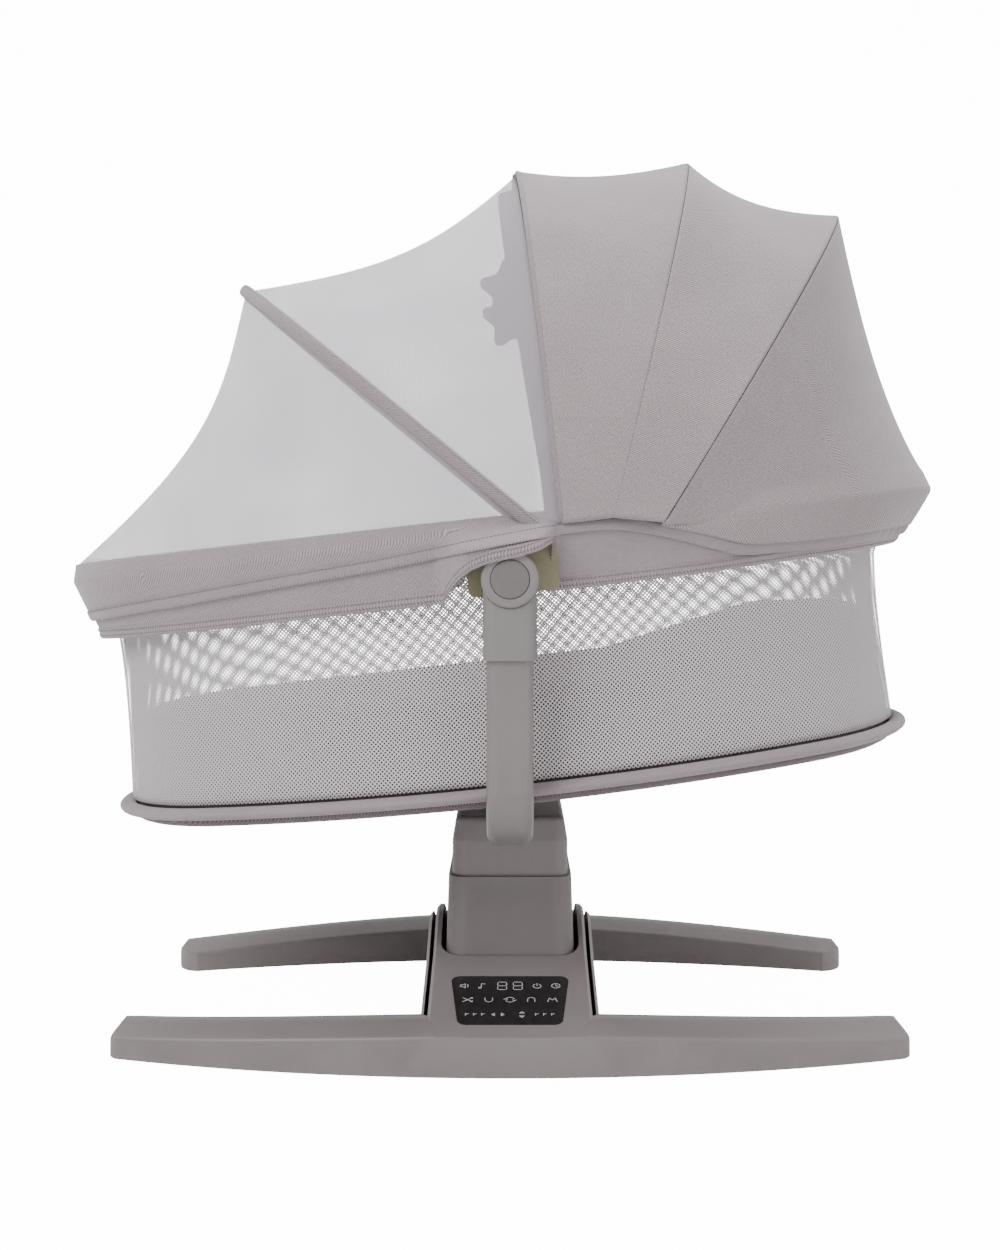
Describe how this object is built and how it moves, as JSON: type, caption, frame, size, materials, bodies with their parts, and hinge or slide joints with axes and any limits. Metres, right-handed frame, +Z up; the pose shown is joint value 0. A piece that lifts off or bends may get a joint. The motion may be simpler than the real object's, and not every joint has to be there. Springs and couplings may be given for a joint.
{
  "type": "baby swing",
  "caption": "Electric baby swing cot: a mesh-walled oval cot with fabric hood and net, held by a yoke on a column that sways and lifts on a base with two curved feet.",
  "frame": {"origin": "on the floor, under the middle of the overall length and width", "axes": "+X to the head end under the hood, +Y away from the control panel, +Z up"},
  "size_m": [0.8796, 0.572, 0.8815],
  "materials": {
    "shell_plastic": "satin",
    "dark_plastic": "satin",
    "button_plastic": "satin",
    "yoke_paint": "satin",
    "pad_rubber": "matte",
    "panel_glass": "gloss",
    "circuit": "matte",
    "inner_plastic": "matte",
    "bronze": "satin",
    "steel": "satin",
    "rim_metal": "satin",
    "bracket_plastic": "satin",
    "bow_plastic": "matte",
    "board": "matte",
    "mattress_cloth": "matte",
    "mesh_cloth": "matte",
    "twill_cloth": "matte",
    "cover_cloth": "matte",
    "net_cloth": "matte",
    "toy_strap": "matte",
    "plush_light": "matte",
    "plush_dark": "matte"
  },
  "bodies": {
    "base": {"base_housing": "shell_plastic", "base_bottom_plate": "dark_plastic", "front_leg_left": "shell_plastic", "front_leg_right": "shell_plastic", "rear_leg_left": "shell_plastic", "rear_leg_right": "shell_plastic", "rubber_feet": "pad_rubber", "panel_glass": "panel_glass", "control_board": "circuit", "speaker": "inner_plastic", "dc_socket": "inner_plastic", "base_screws": "steel", "bearing_blocks": "inner_plastic", "sway_bearings": "bronze", "sway_gearbox": "inner_plastic", "sway_motor": "steel"},
    "column": {"column_shell_front": "dark_plastic", "column_shell_rear": "dark_plastic", "column_frame": "steel", "sway_shaft": "steel", "guide_rods": "steel", "lift_gearbox": "inner_plastic", "lift_motor": "steel"},
    "lift_screw": {"lift_screw": "steel"},
    "lift_head": {"head_shell": "dark_plastic", "lift_carriage": "inner_plastic", "lift_nut": "bronze", "slide_bushes": "bronze", "yoke_saddle": "dark_plastic", "hub_rings": "shell_plastic", "arm_tube_near": "yoke_paint", "arm_tube_far": "yoke_paint", "arm_sleeve_near": "shell_plastic", "arm_sleeve_far": "shell_plastic"},
    "button_near": {"tilt_button_near": "button_plastic"},
    "button_far": {"tilt_button_far": "button_plastic"},
    "cot": {"rim_tube": "rim_metal", "bottom_hoop": "rim_metal", "hub_bracket_near": "bracket_plastic", "hub_bracket_far": "bracket_plastic", "hub_axles": "steel", "hood_hinges": "bracket_plastic", "hinge_pins": "steel", "base_board": "board", "mattress": "mattress_cloth", "mesh_wall": "mesh_cloth", "rim_band": "twill_cloth", "bottom_cover": "cover_cloth"},
    "hood_rear": {"hood_bow_rear": "bow_plastic", "hood_panel_rear": "twill_cloth"},
    "hood_mid": {"hood_bow_mid": "bow_plastic", "hood_panel_mid": "twill_cloth"},
    "hood_front": {"hood_bow_front": "bow_plastic", "hood_panel_front": "twill_cloth"},
    "net": {"net_bow": "bow_plastic", "net_panel_top": "net_cloth", "net_panel_foot": "net_cloth"},
    "toy": {"toy_bar": "toy_strap", "toy_star_light": "plush_light", "toy_star_dark": "plush_dark"}
  },
  "joints": [
    {"name": "sway", "type": "hinge", "parent": "base", "child": "column", "pos_m": [0.008, 0, 0.045], "axis": [0, 1, 0], "range_deg": [-4, 4]},
    {"name": "lift", "type": "slide", "parent": "column", "child": "lift_head", "axis": [0, 0, 1], "range_m": [-0.015, 0.02]},
    {"name": "screw_turn", "type": "hinge", "parent": "column", "child": "lift_screw", "pos_m": [0.008, 0, 0.1], "axis": [0, 0, 1], "range_deg": [-271, 361]},
    {"name": "tilt", "type": "hinge", "parent": "lift_head", "child": "cot", "pos_m": [0.008, 0, 0.455], "axis": [0, 1, 0], "range_deg": [-4, 6.2]},
    {"name": "press_near", "type": "slide", "parent": "lift_head", "child": "button_near", "axis": [0, 1, 0], "range_m": [0, 0.003], "stiffness_N_per_m": 500, "springref_m": -0.002},
    {"name": "press_far", "type": "slide", "parent": "lift_head", "child": "button_far", "axis": [0, -1, 0], "range_m": [0, 0.003], "stiffness_N_per_m": 500, "springref_m": -0.002},
    {"name": "canopy_fold", "type": "hinge", "parent": "cot", "child": "hood_rear", "pos_m": [0.06912, 0, 0.52199], "axis": [0, 1, 0], "range_deg": [0, 36.5], "deforming": ["hood_panel_rear"]},
    {"name": "mid_fold", "type": "hinge", "parent": "hood_rear", "child": "hood_mid", "pos_m": [0.06912, 0, 0.52199], "axis": [0, 1, 0], "range_deg": [0, 17.5], "deforming": ["hood_panel_mid"]},
    {"name": "front_fold", "type": "hinge", "parent": "hood_mid", "child": "hood_front", "pos_m": [0.06912, 0, 0.52199], "axis": [0, 1, 0], "range_deg": [0, 21], "deforming": ["hood_panel_front"]},
    {"name": "net_fold", "type": "hinge", "parent": "hood_front", "child": "net", "pos_m": [0.06912, 0, 0.52199], "axis": [0, 1, 0], "range_deg": [0, 40], "deforming": ["net_panel_top", "net_panel_foot"]},
    {"name": "toy_swing", "type": "hinge", "parent": "cot", "child": "toy", "pos_m": [0.06912, 0, 0.52199], "axis": [0, 1, 0], "range_deg": [-6, 35]}
  ],
  "couplings": [
    {"joint": "screw_turn", "follows": "lift", "rad_per_m": 314.16},
    {"joint": "mid_fold", "follows": "canopy_fold", "ratio": 0.47945},
    {"joint": "front_fold", "follows": "canopy_fold", "ratio": 0.57534},
    {"joint": "net_fold", "follows": "canopy_fold", "ratio": 1.0959}
  ]
}
